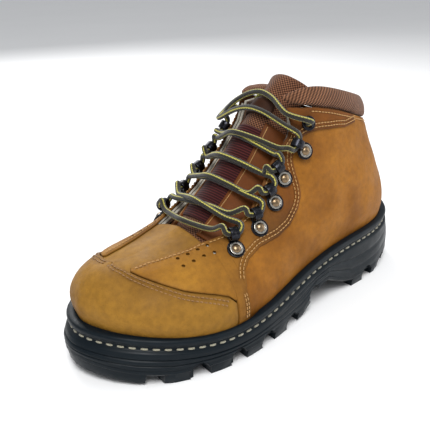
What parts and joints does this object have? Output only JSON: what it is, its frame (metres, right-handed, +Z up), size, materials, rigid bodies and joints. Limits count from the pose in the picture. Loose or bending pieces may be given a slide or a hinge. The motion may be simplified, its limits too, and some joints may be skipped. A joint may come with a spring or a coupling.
{
  "type": "steel toe work boot",
  "caption": "Left ankle-high leather work boot with a hidden steel toe cap, padded collar and tongue, lace loops and a lugged rubber sole.",
  "frame": {"origin": "on the ground, under the middle of the boot's box", "axes": "-X to the toe, +X to the heel, -Y to the outer side of the foot, +Z up"},
  "size_m": [0.295, 0.1114, 0.16],
  "materials": {
    "rubber_sole": "satin",
    "leather_tan": "waxed nubuck",
    "leather_brown": "waxed nubuck",
    "mesh_fabric": "woven mesh",
    "tongue_fabric": "ribbed",
    "lining_fabric": "matt",
    "thread": "waxed",
    "steel": "pressed",
    "black_nickel": "polished",
    "rivet_metal": "burnished",
    "board": "matt",
    "foam": "matt",
    "lace_braid": "braided",
    "lace_tip": "gloss"
  },
  "bodies": {
    "boot": {"rubber_outsole": "rubber_sole", "midsole_cup": "rubber_sole", "steel_shank": "steel", "strobel_insole": "board", "puncture_plate": "steel", "welt_thread": "thread", "forefoot_lining": "lining_fabric", "steel_toe_cap": "steel", "toe_cap_strip": "foam", "vamp_interlining": "foam", "heel_counter": "board", "heel_foam": "foam", "vamp": "leather_tan", "toe_overlay": "leather_tan", "shaft_lining": "lining_fabric", "ankle_foam_lateral": "foam", "quarter_lateral": "leather_brown", "eyestay_backing_lateral": "foam", "side_panel_lateral": "leather_brown", "ankle_foam_medial": "foam", "quarter_medial": "leather_brown", "eyestay_backing_medial": "foam", "side_panel_medial": "leather_brown", "collar_pad_lateral": "mesh_fabric", "collar_pad_medial": "mesh_fabric", "tongue": "mesh_fabric", "tongue_face_panel": "tongue_fabric", "lace_keeper": "leather_brown", "lace_loop_lateral_1": "black_nickel", "lace_loop_lateral_2": "black_nickel", "lace_loop_lateral_3": "black_nickel", "lace_loop_lateral_4": "black_nickel", "lace_loop_lateral_5": "black_nickel", "loop_rivet_lateral_1": "rivet_metal", "loop_rivet_lateral_2": "rivet_metal", "loop_rivet_lateral_3": "rivet_metal", "loop_rivet_lateral_4": "rivet_metal", "loop_rivet_lateral_5": "rivet_metal", "top_eyelet_lateral": "black_nickel", "lace_loop_medial_1": "black_nickel", "lace_loop_medial_2": "black_nickel", "lace_loop_medial_3": "black_nickel", "lace_loop_medial_4": "black_nickel", "lace_loop_medial_5": "black_nickel", "loop_rivet_medial_1": "rivet_metal", "loop_rivet_medial_2": "rivet_metal", "loop_rivet_medial_3": "rivet_metal", "loop_rivet_medial_4": "rivet_metal", "loop_rivet_medial_5": "rivet_metal", "top_eyelet_medial": "black_nickel", "lace": "lace_braid", "lace_tip_medial": "lace_tip", "lace_tip_lateral": "lace_tip"},
    "footbed": {"footbed": "lining_fabric"}
  },
  "joints": [
    {"name": "footbed_lift", "type": "slide", "parent": "boot", "child": "footbed", "axis": [0, 0, 1], "range_m": [0, 0.008]}
  ]
}
